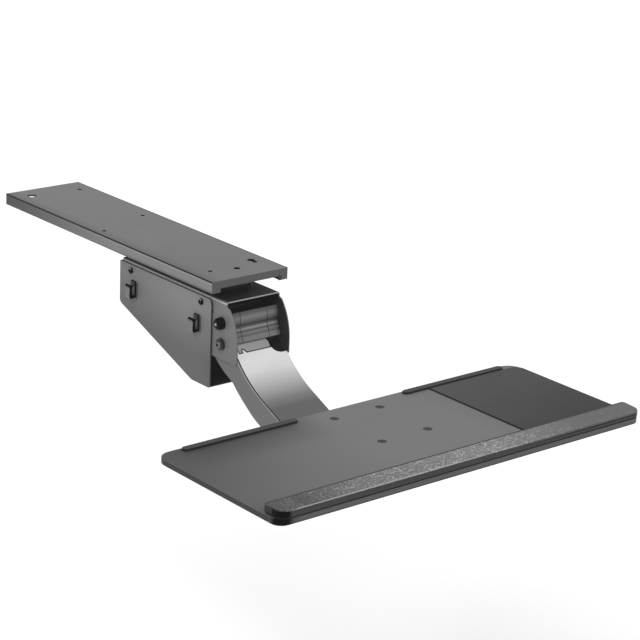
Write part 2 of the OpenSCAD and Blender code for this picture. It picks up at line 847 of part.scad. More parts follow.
// Curved slot round the upper pivot in which the lower bolt runs
module stop_slot(x0, x1) {
  slot_r = (lower_bolt_d + slot_play * 2) / 2;
  translate([x0, pivots[0].x, pivots[0].y])
    rotate([0, 90, 0])
      rotate_extrude(angle = lift_angle)
        translate([pivot_spacing - slot_r, 0])
          square([2 * slot_r, x1 - x0]);
  for (turn = [0, lift_angle])
    cross_bar(pivots[0] + pivot_spacing * [sin(turn), -cos(turn)], slot_r, x0, x1);
}

// Region of the skin's plane that is cut away at the right of its upper end
module neck_cut(grow) {
  right = arm_outer_x + over;
  left = end_plate_right - grow;
  translate([left + neck_r, neck_top])
    circle(r = neck_r);
  translate([left, neck_top])
    square([right - left, 40]);
  translate([left + neck_r, neck_top - neck_r])
    square([right - left - neck_r, neck_r + over]);
}

module arm_channel() {
  web_top = skin_t + skin_rest_gap;
  color(dark_steel)
  difference() {
    union() {
      across(-arm_outer_x, -arm_inner_x)
        polygon(side_plate(side_edge_rise));
      across(arm_inner_x, arm_outer_x)
        polygon(side_plate(-web_top));
      both_sides(arm_inner_x, arm_outer_x) {
        disc_at(pivots[0], hub_r);
        disc_at(front_pivot, front_hub_r);
      }
      difference() {
        across(-arm_inner_x - over / 2, arm_inner_x + over / 2)
          polygon(concat(
            arm_line(web_top, end_plate_high - 1, end_length_to(skin_end_y, web_top)),
            reversed(arm_line(web_top + web_t, end_plate_high - 1, end_length_to(skin_end_y, web_top + web_t)))
          ));
        on_skin_plane()
          translate([0, 0, -20])
            linear_extrude(height = 30)
              neck_cut(1.5);
      }
    }
    cross_bar(pivots[0], upper_axle_d / 2 + bush_wall, -arm_outer_x - over, arm_outer_x + over);
    cross_bar(front_pivot, head_pin_d / 2 + running_play, -arm_outer_x - over, arm_outer_x + over);
    cross_bar(spring_pin_at, spring_pin_d / 2, -arm_outer_x - over, arm_outer_x + over);
    stop_slot(-arm_outer_x - over, -arm_inner_x + over);
    stop_slot(arm_inner_x - over, arm_outer_x + over);
  }
}

module arm_bushes() {
  color(nylon)
  for (x = [-arm_outer_x, arm_inner_x])
    cross_tube(pivots[0], upper_axle_d / 2 + bush_wall, upper_axle_d / 2 + running_play, x, x + arm_t);
}

module end_plate_outline(grow) {
  notch_r = grow > 0 ? 0.5 : 1.2;
  polygon(outline([
    [end_plate_left - grow, end_plate_low - grow, 1.5], [end_plate_left + 5 + grow, end_plate_low - grow, 1],
    [end_plate_left + 5 + grow, end_plate_low + end_plate_notch - grow, notch_r],
    [end_plate_left + 9.4 - grow, end_plate_low + end_plate_notch - grow, notch_r],
    [end_plate_left + 13.6 - grow, end_plate_low - grow, 1.5],
    [end_plate_right, end_plate_low - grow, 1], [end_plate_right, 12, 2],
    [end_plate_right - 5, end_plate_high, 2], [end_plate_left - grow, end_plate_high, 1]
  ]));
}

module skin_end_plate() {
  color(silver)
  on_skin_plane()
    translate([0, 0, -skin_t])
      linear_extrude(height = skin_t)
        end_plate_outline(0);
}

module arm_skin() {
  color(silver)
  difference() {
    across(-skin_half, arm_outer_x)
      polygon(concat(
        arm_line(0, end_plate_high - 2, end_length_to(skin_end_y, 0)),
        reversed(arm_line(skin_t, end_plate_high - 2, end_length_to(skin_end_y, skin_t)))
      ));
    on_skin_plane()
      translate([0, 0, -skin_t - over])
        linear_extrude(height = skin_t + 2 * over) {
          neck_cut(0);
          end_plate_outline(end_plate_gap);
          translate([end_plate_left - end_plate_gap, end_plate_low + end_plate_notch + 0.6])
            square([arm_outer_x - end_plate_left + 2, 20]);
          translate([end_plate_right - 1, end_plate_low - end_plate_gap])
            square([4, end_plate_notch + 2]);
        }
  }
}

module spring_pin() {
  color(silver)
  cross_bar(spring_pin_at, spring_pin_d / 2, -arm_outer_x, arm_outer_x);
}

// Side view of the ribbed hinge cover: a bulge, two ribs and a flat lower band
function hinge_cover_side() =
  [for (c = outline([
    [-8.4, 14.4, 0], [-10.4, 12.6, 2.5], [-12.2, 4, 9], [-12, -2.6, 2], [-10.2, -6.4, 1.2],
    [-11, -8.4, 0.5], [-13.6, -9.6, 1.3], [-13.4, -12.4, 0.8], [-12.9, -13.6, 0.4], [-15.9, -15.4, 1.3],
    [-16, -18, 0.8], [-15.4, -20, 0.4], [-17.9, -21.6, 1.2], [-20.3, -27.4, 0.8], [-18.4, -28.2, 0.4],
    [-14.4, -19.6, 0.8], [-10.8, -11.4, 1], [-8.6, -6.8, 1], [-9.8, -1.6, 1.5], [-9.9, 4, 6], [-8.6, 11.4, 1.5]
  ])) c + pivots[0]];

// Side view of a rib behind the cover, which stands on the skin's upper end
function hinge_rib_side() =
  let (
    p = pivots[0],
    foot = skin_start - end_plate_high * along(skin_top_angle) - seat_play * inward(skin_top_angle)
  )
  [p + [-18.6, -28], p + [-14.7, -19.8], p + [-12.9, -21.6], foot, foot + 2 * along(skin_top_angle)];

module hinge_cover(x0, x1, ribs) {
  color(moulded_grey)
  union() {
    across(x0, x1)
      polygon(hinge_cover_side());
    for (x = ribs)
      across(x - 1, x + 1)
        polygon(hinge_rib_side());
  }
}

module hinge_cover_left() {
  hinge_cover(-end_cover_outer, -middle_cover_width / 2 - cover_seam, [-middle_cover_width / 2 - 5]);
}

module hinge_cover_middle() {
  hinge_cover(-middle_cover_width / 2, middle_cover_width / 2, [-14, 14]);
}

module hinge_cover_right() {
  hinge_cover(middle_cover_width / 2 + cover_seam, end_cover_outer, []);
}

// Side view of the tie link: parallel to the skin, then straight on to the front pivot
function link_side() =
  let (
    low = link_offset + link_half_depth,
    high = link_offset - link_half_depth,
    q = front_low_pivot,
    half = link_half_depth * inward(skin_end_angle)
  )
  concat(arm_line(high, 26, 60), [q - half, q + half], reversed(arm_line(low, 26, 60)));

module tie_link() {
  color(dark_steel)
  difference() {
    union() {
      both_sides(link_outer_x - link_t, link_outer_x) {
        polygon(link_side());
        disc_at(pivots[1], link_hub_r);
        disc_at(front_low_pivot, link_hub_r);
      }
      across(-link_outer_x + link_t / 2, link_outer_x - link_t / 2)
        polygon(concat(
          [for (i = [5:arc_steps + 2]) arm_line(link_offset + link_half_depth - link_t, 0, 60)[i]],
          reversed([for (i = [5:arc_steps + 2]) arm_line(link_offset + link_half_depth, 0, 60)[i]])
        ));
    }
    cross_bar(pivots[1], lower_bolt_d / 2 + running_play, -link_outer_x - over, link_outer_x + over);
    cross_bar(front_low_pivot, head_pin_d / 2 + running_play, -link_outer_x - over, link_outer_x + over);
  }
}

module head_bracket() {
  q = front_pivot;
  low = front_low_pivot;
  t = tilt_at;
  web_y = low.x - link_hub_r - 8;
  color(steel_grey)
  difference() {
    union() {
      both_sides(head_inner_x, head_outer_x)
        polygon(outline([
          [low.x + 12, low.y - 2, 6], [low.x + 4, low.y - 12, 6], [low.x - 12, low.y - 12, 6],
          [web_y, low.y + 8, 10], [t.x - 13, t.y - 6, 8], [t.x - 11, t.y + 12, 8],
          [t.x + 11, t.y + 12, 8], [q.x + 12, q.y + 10, 8]
        ]));
      translate([-head_inner_x - over / 2, web_y + 2, low.y + 6])
        cube([2 * head_inner_x + over, head_t, q.y - low.y]);
    }
    cross_bar(q, head_pin_d / 2, -head_outer_x - over, head_outer_x + over);
    cross_bar(low, head_pin_d / 2, -head_outer_x - over, head_outer_x + over);
    cross_bar(t, tilt_bolt_d / 2 + running_play, -head_outer_x - over, head_outer_x + over);
  }
}

module head_upper_pin() {
  end = arm_outer_x + 0.3 + clip_disc_t + 1;
  color(silver)
  cross_bar(front_pivot, head_pin_d / 2, -end, end);
}

module head_lower_pin() {
  color(silver)
  cross_bar(front_low_pivot, head_pin_d / 2, -head_outer_x, head_outer_x);
}

module pin_clips() {
  color(dark_steel)
  for (x = [-arm_outer_x - 0.3 - clip_disc_t, arm_outer_x + 0.3])
    cross_tube(front_pivot, clip_disc_r, head_pin_d / 2, x, x + clip_disc_t);
}

module link_spacers() {
  color(dark_steel)
  union() {
    cross_tube(front_low_pivot, spacer_r, head_pin_d / 2,
      -link_outer_x + link_t + seat_play, link_outer_x - link_t - seat_play);
    for (side = [-1, 1])
      translate([side * (link_outer_x + head_inner_x) / 2, 0, 0])
        cross_tube(front_low_pivot, spacer_r, head_pin_d / 2,
          -(head_inner_x - link_outer_x) / 2 + seat_play, (head_inner_x - link_outer_x) / 2);
  }
}

module tray_bracket() {
  t = tilt_at;
  color(steel_grey)
  difference() {
    union() {
      translate([tray_shift - tray_plate_half, screw_y[1] - tray_plate_edge, tray_bottom - tray_plate_t])
        cube([2 * tray_plate_half, screw_y[0] - screw_y[1] + 2 * tray_plate_edge, tray_plate_t]);
      both_sides(flange_outer_x - flange_t, flange_outer_x)
        polygon(outline([
          [t.x + 12, tray_bottom - tray_plate_t / 2, 0], [t.x + 12, t.y - 8, 6], [t.x - 6, t.y - 12, 6],
          [t.x - 14, t.y - 12, 8], [t.x - 60, tray_bottom - tray_plate_t - 3, 2],
          [t.x - 60, tray_bottom - tray_plate_t / 2, 0]
        ]));
    }
    cross_bar(t, tilt_bolt_d / 2, -flange_outer_x - over, flange_outer_x + over);
    for (side = [-1, 1], y = screw_y)
      upright(tray_shift + side * screw_spacing_x / 2, y, tray_screw_d / 2 + screw_play,
        tray_bottom - tray_plate_t - over, tray_bottom + over);
  }
}

module tilt_bolt() {
  head_x = head_outer_x + face_play;
  color(silver)
  union() {
    cross_bar(tilt_at, tilt_bolt_d / 2, -head_x, tilt_bolt_end);
    translate([-head_x - 5, tilt_at.x, tilt_at.y])
      rotate([0, 90, 0])
        cylinder(h = 5, r = 9, $fn = 6);
  }
}

module tilt_washers() {
  color(nylon)
  for (x = [-head_inner_x + face_play, flange_outer_x])
    cross_tube(tilt_at, 11, tilt_bolt_d / 2, x, x + flange_gap - face_play);
}

// Outline of the board's top, or of a band of it that is drawn in by an inset
module board_outline(inset) {
  x = tray_half - inset;
  polygon(outline([
    [-x, tray_back - inset, board_back_corner_r - inset], [-x, tray_front + inset, board_corner_r - inset],
    [x, tray_front + inset, board_corner_r - inset], [x, tray_back - inset, board_back_corner_r - inset]
  ]));
}

module tray_board() {
  color(steel_grey)
  translate([tray_shift, 0, 0])
  difference() {
    translate([0, 0, tray_bottom])
      linear_extrude(height = board_t)
        board_outline(0);
    for (side = [-1, 1], y = screw_y) {
      upright(side * screw_spacing_x / 2, y, tray_screw_d / 2 + screw_play, tray_bottom - over, tray_top + over);
      upright(side * screw_spacing_x / 2, y, screw_recess_d / 2, tray_top - screw_recess_depth, tray_top + over);
    }
  }
}

module tray_screws() {
  seat = tray_top - screw_recess_depth;
  color(dark_steel)
  translate([tray_shift, 0, 0])
  for (side = [-1, 1], y = screw_y)
    difference() {
      union() {
        upright(side * screw_spacing_x / 2, y, tray_screw_d / 2, tray_bottom - tray_plate_t - nut_h - 1, seat);
        upright(side * screw_spacing_x / 2, y, screw_head_d / 2, seat, seat + 1.9);
      }
      translate([side * screw_spacing_x / 2, y, seat + 0.7])
        cylinder(h = 2, r = 2, $fn = 6);
    }
}

module tray_nuts() {
  top = tray_bottom - tray_plate_t;
  color(silver)
  translate([tray_shift, 0, 0])
  for (side = [-1, 1], y = screw_y)
    difference() {
      translate([side * screw_spacing_x / 2, y, top - nut_h])
        cylinder(h = nut_h, r = nut_across / 2 / cos(30), $fn = 6);
      upright(side * screw_spacing_x / 2, y, tray_screw_d / 2, top - nut_h - over, top + over);
    }
}

module mouse_pad() {
  x = tray_half - pad_inset;
  front = palm_back + 0.5;
  color(pad_grey)
  translate([tray_shift, 0, tray_top])
    linear_extrude(height = pad_t)
      polygon(outline([
        [pad_left, pad_back, 1], [pad_left, front, 1], [x, front, 1], [x, pad_back, pad_corner_r]
      ]));
}

// Outline of the palm rest from above, drawn in by an inset
module palm_outline(inset) {
  left = -tray_half + palm_left_gap + inset;
  right = tray_half - inset;
  polygon(outline([
    [left, palm_back - inset, palm_corner_r - inset], [left, tray_front + inset, board_corner_r - inset],
    [right, tray_front + inset, board_corner_r - inset], [right, palm_back - inset, palm_corner_r - inset]
  ]));
}

module palm_rest_base() {
  color(black)
  translate([tray_shift, 0, tray_top])
    linear_extrude(height = palm_base_t)
      palm_outline(palm_inset);
}

// Side view of the pad: a rounded front, a low crown and a drawn-in back
function palm_side() =
  let (
    low = tray_top + palm_base_t,
    high = tray_top + palm_height
  )
  concat(
    [[palm_back, low]],
    [[tray_front + 0.6, low]],
    corner_arc([tray_front, low], [tray_front, high - 1], [tray_front + palm_depth / 2, high], palm_edge_r),
    [[tray_front + palm_depth * 0.35, high], [tray_front + palm_depth * 0.65, high - 0.2]],
    corner_arc([tray_front + palm_depth / 2, high], [palm_back, high - 1.6], [palm_back, low], palm_edge_r)
  );

module palm_rest() {
  color(leather_grey)
  translate([tray_shift, 0, 0])
  intersection() {
    across(-tray_half, tray_half)
      polygon(palm_side());
    translate([0, 0, tray_bottom])
      linear_extrude(height = board_t + palm_height + over)
        palm_outline(0);
  }
}

// Low strip with round ends that keeps things from sliding off the back edge
module back_strip(x0, x1) {
  y = strip_back - strip_width / 2;
  color(black)
  translate([tray_shift, 0, tray_top])
    linear_extrude(height = strip_height)
      union() {
        translate([x0 + strip_width / 2, strip_back - strip_width])
          square([x1 - x0 - strip_width, strip_width]);
        for (x = [x0 + strip_width / 2, x1 - strip_width / 2])
          translate([x, y])
            circle(r = strip_width / 2);
      }
}

module back_strip_left() {
  back_strip(left_strip_start, left_strip_start + strip_length);
}

module back_strip_right() {
  back_strip(right_strip_end - strip_length, right_strip_end);
}

module tilt_knob() {
  x0 = head_outer_x + 0.5;
  lobe_r = tilt_knob_d / 5;
  color(black)
  difference() {
    union() {
      cross_bar(tilt_at, tilt_knob_d / 2 - lobe_r * 0.6, x0, tilt_knob_end);
      for (turn = [0:60:300])
        cross_bar(tilt_at + (tilt_knob_d / 2 - lobe_r) * [cos(turn), sin(turn)], lobe_r, x0 + 4, tilt_knob_end);
    }
    cross_bar(tilt_at, tilt_bolt_d / 2 + running_play, x0 - over, tilt_bolt_end + 1);
  }
}

track_channel();
rear_stops();
carriage_plate();
glide_shoes();
swivel_spacer();
swivel_bolt();
swivel_nut();
swivel_washer();
mechanism_bracket();
bracket_cover();
cover_screws();
cable_clips();
upper_axle();
axle_caps();
lower_pivot_bolt();
lower_pivot_nut();
pivot_flanges();
lower_spacers();
spring_bar();
lift_springs();
arm_channel();
arm_bushes();
arm_skin();
skin_end_plate();
spring_pin();
hinge_cover_left();
hinge_cover_middle();
hinge_cover_right();
tie_link();
head_bracket();
head_upper_pin();
head_lower_pin();
pin_clips();
link_spacers();
tray_bracket();
tilt_bolt();
tilt_washers();
tray_board();
tray_screws();
tray_nuts();
mouse_pad();
palm_rest_base();
palm_rest();
back_strip_left();
back_strip_right();
tilt_knob();
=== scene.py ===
import math

import bmesh
import bpy
from mathutils import Matrix, Vector


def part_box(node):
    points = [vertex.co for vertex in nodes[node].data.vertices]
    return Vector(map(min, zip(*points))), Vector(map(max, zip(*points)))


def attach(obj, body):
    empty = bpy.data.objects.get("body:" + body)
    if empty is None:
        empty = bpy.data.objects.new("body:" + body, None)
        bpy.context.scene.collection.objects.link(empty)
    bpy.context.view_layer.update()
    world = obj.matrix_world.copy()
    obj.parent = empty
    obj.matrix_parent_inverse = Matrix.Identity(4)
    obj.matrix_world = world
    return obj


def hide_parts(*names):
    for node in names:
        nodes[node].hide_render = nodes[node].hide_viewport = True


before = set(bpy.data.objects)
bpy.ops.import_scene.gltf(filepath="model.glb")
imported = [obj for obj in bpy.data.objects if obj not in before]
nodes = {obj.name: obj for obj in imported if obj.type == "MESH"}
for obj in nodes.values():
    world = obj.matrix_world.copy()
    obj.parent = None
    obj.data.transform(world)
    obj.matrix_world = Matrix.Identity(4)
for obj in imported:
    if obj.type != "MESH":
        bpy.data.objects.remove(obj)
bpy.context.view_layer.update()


# the camera is turned to the side and tipped down as in the photograph
view = {
    "turn": -40.09,  # degrees round Z, 0 looks along +Y
    "height": 18.62,  # degrees above level
    "roll": 2.39,
    "place": (-1.8719, -2.6487, 0.9569),
    "lens": 126.81,
    "sensor": 36.0,
}


def makeCamera(s):
    turn, height, roll = (math.radians(s[k]) for k in ("turn", "height", "roll"))
    back = Vector((math.sin(turn) * math.cos(height), -math.cos(turn) * math.cos(height), math.sin(height)))
    level = Vector((math.cos(turn), math.sin(turn), 0))
    rise = back.cross(level)
    right = level * math.cos(roll) + rise * math.sin(roll)
    up = rise * math.cos(roll) - level * math.sin(roll)
    lens = bpy.data.cameras.new("camera")
    lens.lens = s["lens"]
    lens.sensor_width = s["sensor"]
    lens.clip_end = 1000
    camera = bpy.data.objects.new("camera", lens)
    bpy.context.scene.collection.objects.link(camera)
    camera.matrix_world = Matrix.Translation(s["place"]) @ Matrix((right, up, back)).transposed().to_4x4()
    bpy.context.scene.camera = camera


makeCamera(view)
print("camera set")


# soft light from above and a pale floor far below
studio = {
    "sky": 0.50,  # strength of the even white surround
    "lamps": {  # strength, where the light comes from, width in degrees
        "keyLamp": (1.35, (-0.75, -0.30, 1.0), 40.0),
        "fillLamp": (0.70, (0.35, -0.75, 0.8), 50.0),
    },
    "floorGlow": 0.16,
    "floorHeight": -0.72,  # a desk's underside stands this far over its floor
    "floorSize": 800.0,
}


def makeStudio(s):
    scene = bpy.context.scene
    scene.view_settings.view_transform = "Standard"
    world = bpy.data.worlds.new("surround")
    world.use_nodes = True
    surround = world.node_tree.nodes["Background"]
    surround.inputs["Color"].default_value = (1, 1, 1, 1)
    surround.inputs["Strength"].default_value = s["sky"]
    scene.world = world
    for name, (strength, origin, width) in s["lamps"].items():
        sun = bpy.data.lights.new(name, "SUN")
        sun.energy = strength
        sun.angle = math.radians(width)
        lamp = bpy.data.objects.new(name, sun)
        lamp.rotation_euler = Vector(origin).to_track_quat("Z", "Y").to_euler()
        scene.collection.objects.link(lamp)
    clearSelection()
    bpy.ops.mesh.primitive_plane_add(size=s["floorSize"], location=(0, 0, s["floorHeight"]))
    floor = bpy.context.object
    floor.name = "floor"
    floor.data.materials.append(paleFloor(s["floorGlow"]))


class Value:  # an output that takes part in sums
    def __init__(self, finish, socket):
        self.finish = finish
        self.socket = socket

    def work(self, operation, first, second):
        return self.finish.add("ShaderNodeMath", {"operation": operation}, {0: first, 1: second})

    def __add__(self, other):
        return self.work("ADD", self, other)

    __radd__ = __add__

    def __sub__(self, other):
        return self.work("SUBTRACT", self, other)

    def __rsub__(self, other):
        return self.work("SUBTRACT", other, self)

    def __mul__(self, other):
        return self.work("MULTIPLY", self, other)

    __rmul__ = __mul__

    def __gt__(self, other):
        return self.work("GREATER_THAN", self, other)

    def __lt__(self, other):
        return self.work("LESS_THAN", self, other)

    def __abs__(self):
        return self.work("ABSOLUTE", self, 0.0)


# a faint painted glow on every finish, though no part is a lamp
paintedGlow = {"glow": (1, 1, 1, 1), "glowStrength": 0.010}  # no black of the photograph is quite black


class Finish:  # one material and its nodes
    def __init__(self, name, **fixed):
        self.material = bpy.data.materials.new(name)
        self.material.use_nodes = True
        self.tree = self.material.node_tree
        self.shader = self.tree.nodes["Principled BSDF"]
        self.place = self.add("ShaderNodeTexCoord", out="Object")
        self.x, self.y, self.z = self.split(self.place)
        self.facing = self.split(self.add("ShaderNodeTexCoord", out="Normal"))
        self.feed(**{**paintedGlow, **fixed})

    def add(self, kind, settings=None, values=None, out=0):
        node = self.tree.nodes.new(kind)
        for name, setting in (settings or {}).items():
            if name == "stops":
                self.fillRamp(node.color_ramp, setting)
            else:
                setattr(node, name, setting)
        for key, value in (values or {}).items():
            self.join(value, node.inputs[key])
        return Value(self, node.outputs[out])

    def split(self, value):
        return [self.add("ShaderNodeSeparateXYZ", None, {0: value}, i) for i in range(3)]

    def join(self, value, socket):
        if isinstance(value, Value):
            self.tree.links.new(value.socket, socket)
        else:
            socket.default_value = value

    def fillRamp(self, ramp, stops):
        while len(ramp.elements) < len(stops):
            ramp.elements.new(1)
        for element, (position, level) in zip(ramp.elements, stops):
            element.position = position
            element.color = (level, level, level, 1)

    def feed(self, **sockets):
        for name, value in sockets.items():
            self.join(value, self.shader.inputs[socketNames[name]])

    def stretched(self, sizes):
        return self.add("ShaderNodeMapping", None, {"Vector": self.place, "Scale": sizes})

    def noise(self, scale, detail=2.0, rough=0.5, place=None, out=0):
        wanted = {"Vector": place or self.place, "Scale": scale, "Detail": detail, "Roughness": rough}
        return self.add("ShaderNodeTexNoise", {"normalize": True}, wanted, out)

    def cells(self, scale, feature="F1", place=None):
        wanted = {"Vector": place or self.place, "Scale": scale}
        return self.add("ShaderNodeTexVoronoi", {"feature": feature}, wanted, "Distance")

    def ramp(self, value, stops):
        return self.add("ShaderNodeValToRGB", {"stops": stops}, {"Fac": value})

    def shift(self, value, low, high, toLow=0.0, toHigh=1.0):
        wanted = {"Value": value, "From Min": low, "From Max": high, "To Min": toLow, "To Max": toHigh}
        return self.add("ShaderNodeMapRange", {"clamp": True}, wanted)

    def blend(self, factor, first, second, mode="MIX"):
        paint = [(*c, 1) if isinstance(c, tuple) else c for c in (first, second)]
        wanted = {"data_type": "RGBA", "blend_type": mode}
        return self.add("ShaderNodeMix", wanted, {0: factor, 6: paint[0], 7: paint[1]}, 2)

    # lays the marks, mostly painted light and painted shade, over the base
    def marked(self, base, color, marks):
        deep = []
        for mark, share, *mode in marks(self) if marks else []:
            wash = (share, share, share) if mode else tint(color, share)
            base = self.blend(mark, base, wash, *mode)
            if share == 0:  # metal without a colour has no gloss either
                deep.append(mark)
        if deep:
            self.feed(metal=sum(deep))
        return base

    def roundedEdge(self, radius):
        return self.add("ShaderNodeBevel", {"samples": 6}, {"Radius": radius})

    def edgeMask(self, rounded, gain):
        flat = self.add("ShaderNodeNewGeometry", out="Normal")
        along = self.add("ShaderNodeVectorMath", {"operation": "DOT_PRODUCT"}, {0: rounded, 1: flat}, 1)
        return self.shift((1 - along) * gain, 0, 1)

    def bump(self, height, distance, strength, normal=None):
        wanted = {"Height": height, "Distance": distance, "Strength": strength}
        if normal is not None:
            wanted["Normal"] = normal
        return self.add("ShaderNodeBump", None, wanted)


socketNames = {
    "color": "Base Color", "rough": "Roughness", "metal": "Metallic", "normal": "Normal",
    "gloss": "Specular IOR Level", "sheen": "Sheen Weight", "sheenRough": "Sheen Roughness",
    "glow": "Emission Color", "glowStrength": "Emission Strength",
}


def tint(color, share):
    return tuple(min(1.0, c * share) for c in color)


# each finish makes one material; its last line feeds what varies over the surface
def paleFloor(glow):
    f = Finish("paleFloor", rough=0.9, gloss=0.2, glow=(1, 1, 1, 1), glowStrength=glow)
    f.feed(color=f.ramp(f.noise(3.0), [(0.3, 0.93), (0.7, 0.95)]))
    return f.material


def paintedSteel(name, color, marks=None, grain=1400.0, edge=0.0007, rough=0.46, edgeLighten=0.5):
    f = Finish(name, gloss=0.35)
    rounded = f.roundedEdge(edge)
    speck = f.noise(grain, 3.0, 0.6)
    slow = f.noise(7.0, 2.0)
    base = f.blend(f.shift(slow, 0.3, 0.7), tint(color, 0.95), tint(color, 1.05))
    base = f.blend(f.shift(speck, 0.35, 0.75, 0.0, 0.6), base, tint(color, 1.25))
    # lighter along rounded edges
    base = f.blend(f.edgeMask(rounded, 4.0) * edgeLighten, base, tint(color, 1.7))
    f.feed(
        color=f.marked(base, color, marks),
        rough=f.shift(speck, 0.2, 0.8, rough - 0.05, rough + 0.07),
        normal=f.bump(speck + f.noise(grain * 0.35) * 0.8, 0.00010, 0.5, rounded),
    )
    return f.material


def mouldedPlastic(name, color, marks=None, bands=None, rough=0.55, gloss=0.3):
    f = Finish(name, gloss=gloss)
    rounded = f.roundedEdge(0.0006)
    spark = f.cells(2600.0)
    slow = f.noise(11.0, 2.0)
    base = f.blend(f.shift(slow, 0.3, 0.7), tint(color, 0.94), tint(color, 1.06))
    # the ribbed cover's colour is painted light and shade in bands up its height
    if bands:
        base = f.ramp(f.shift(f.z, *hingeSpan), bands)
    base = f.blend(f.shift(spark, 0.0, 0.7, 0.0, 0.35), base, tint(color, 0.75))
    base = f.blend(f.edgeMask(rounded, 4.0) * 0.35, base, tint(color, 1.6))
    f.feed(
        color=f.marked(base, color, marks),
        rough=f.shift(slow, 0.3, 0.7, rough - 0.04, rough + 0.05),
        normal=f.bump(spark, 0.00008, 0.4, rounded),
    )
    return f.material


def platedSteel(name, color, rough=0.36):
    f = Finish(name, metal=1.0)
    rounded = f.roundedEdge(0.0003)
    streak = f.noise(1.0, 4.0, 0.6, f.stretched((900.0, 60.0, 900.0)))
    stain = f.noise(90.0, 3.0)
    base = f.blend(f.shift(streak, 0.3, 0.7), tint(color, 0.88), tint(color, 1.08))
    base = f.blend(f.shift(stain, 0.45, 0.75, 0.0, 0.3), base, tint(color, 0.8))
    f.feed(
        color=base,
        rough=f.shift(streak, 0.25, 0.75, rough - 0.06, rough + 0.1),
        normal=f.bump(streak, 0.00003, 0.3, rounded),
    )
    return f.material


skinReflectionSpan = (-0.44, -0.29)  # front and back of the skin's painted reflection, its bright part
skinReflectionStops = [
    (0.00, 0.17), (0.42, 0.16), (0.53, 0.27), (0.62, 0.42),
    (0.72, 0.58), (0.82, 0.70), (0.92, 0.66), (1.00, 0.60)]


def satinSheet(name, marks):
    f = Finish(name, metal=0.6)
    rounded = f.roundedEdge(0.0004)
    lines = f.noise(1.0, 3.0, 0.6, f.stretched((2400.0, 35.0, 35.0)))
    haze = f.noise(26.0, 2.0)
    # painted reflection: the skin light at the back and top, dark towards the tray
    base = f.ramp(f.shift(f.y, *skinReflectionSpan), skinReflectionStops)
    base = f.blend(f.shift(lines, 0.3, 0.7, 0.0, 0.05), base, (0.04, 0.04, 0.04))
    f.feed(
        color=f.marked(base, (1, 1, 1), marks),
        rough=f.shift(haze, 0.3, 0.7, 0.36, 0.44),
        normal=f.bump(lines, 0.00002, 0.12, rounded),
    )
    return f.material


def softRubber(name, color, marks=None):
    f = Finish(name, gloss=0.15)
    rounded = f.roundedEdge(0.0005)
    dust = f.noise(420.0, 4.0, 0.65)
    base = f.blend(f.shift(dust, 0.4, 0.8), color, tint(color, 1.9))
    f.feed(
        color=f.marked(base, color, marks),
        rough=f.shift(dust, 0.3, 0.7, 0.55, 0.68),
        normal=f.bump(dust, 0.00006, 0.4, rounded),
    )
    return f.material


def laminate(name, color, marks):
    f = Finish(name, gloss=0.25)
    rounded = f.roundedEdge(0.0008)
    speck = f.noise(1100.0, 2.0, 0.6)
    fleck = f.cells(700.0)
    slow = f.noise(4.0, 2.0)
    base = f.blend(f.shift(slow, 0.3, 0.7), tint(color, 0.96), tint(color, 1.04))
    base = f.blend(f.shift(speck, 0.5, 0.8, 0.0, 0.5), base, tint(color, 1.35))
    base = f.blend(f.shift(fleck, 0.0, 0.16, 0.35, 0.0), base, tint(color, 0.7))
    base = f.blend(f.edgeMask(rounded, 4.0) * 0.5, base, tint(color, 1.5))
    f.feed(
        color=f.marked(base, color, marks),
        rough=f.shift(speck, 0.2, 0.8, 0.38, 0.48),
        normal=f.bump(speck, 0.00005, 0.35, rounded),
    )
    return f.material


def wovenCloth(name, color, marks, pitch=0.0011):
    f = Finish(name, gloss=0.12, sheen=0.06, sheenRough=0.5)
    thread = {"Vector": f.place, "Scale": 0.1 / pitch, "Distortion": 1.2}
    weave = f.add("ShaderNodeTexWave", {"bands_direction": "X"}, thread, 1)
    weave = weave * f.add("ShaderNodeTexWave", {"bands_direction": "Y"}, thread, 1)
    fuzz = f.noise(2200.0, 3.0, 0.7)
    wearAndGlintPatches = f.noise(14.0, 3.0)
    base = f.blend(f.shift(weave, 0.0, 1.0), tint(color, 0.72), tint(color, 1.15))
    base = f.blend(f.shift(fuzz, 0.45, 0.8, 0.0, 0.5), base, tint(color, 1.5))
    base = f.blend(f.shift(wearAndGlintPatches, 0.4, 0.7, 0.0, 0.3), base, tint(color, 1.15))
    f.feed(
        color=f.marked(base, color, marks),
        rough=f.shift(fuzz, 0.3, 0.7, 0.8, 0.92),
        normal=f.bump(weave + fuzz * 0.6, 0.00022, 0.6),
    )
    return f.material


def grainedSkin(name, color, marks, cell=360.0):
    f = Finish(name, gloss=0.4)
    warp = f.add("ShaderNodeVectorMath", {"operation": "MULTIPLY_ADD"},
                 {0: f.noise(110.0, 2.0, out=1), 1: (0.006, 0.006, 0.006), 2: f.place})
    pebble = f.cells(cell, "DISTANCE_TO_EDGE", warp)
    crease = f.noise(300.0, 3.0, 0.7, warp)
    fine = f.noise(1500.0, 2.0, 0.6)
    wearAndGlintPatches = f.noise(55.0, 3.0, 0.6)
    valley = f.shift(pebble, 0.0, 0.12)
    # painted shade in the grain's valleys
    base = f.blend(valley, tint(color, 0.35), tint(color, 0.8))
    # painted glints on the creases, in patches
    base = f.blend(f.shift(crease, 0.50, 0.66) * f.shift(wearAndGlintPatches, 0.35, 0.6, 0.4, 1.0), base, tint(color, 2.4))
    f.feed(
        color=f.marked(base, color, marks),
        rough=f.shift(crease, 0.3, 0.7, 0.36, 0.6),
        normal=f.bump(valley * 0.6 + crease + fine * 0.15, 0.0007, 0.85),
    )
    return f.material


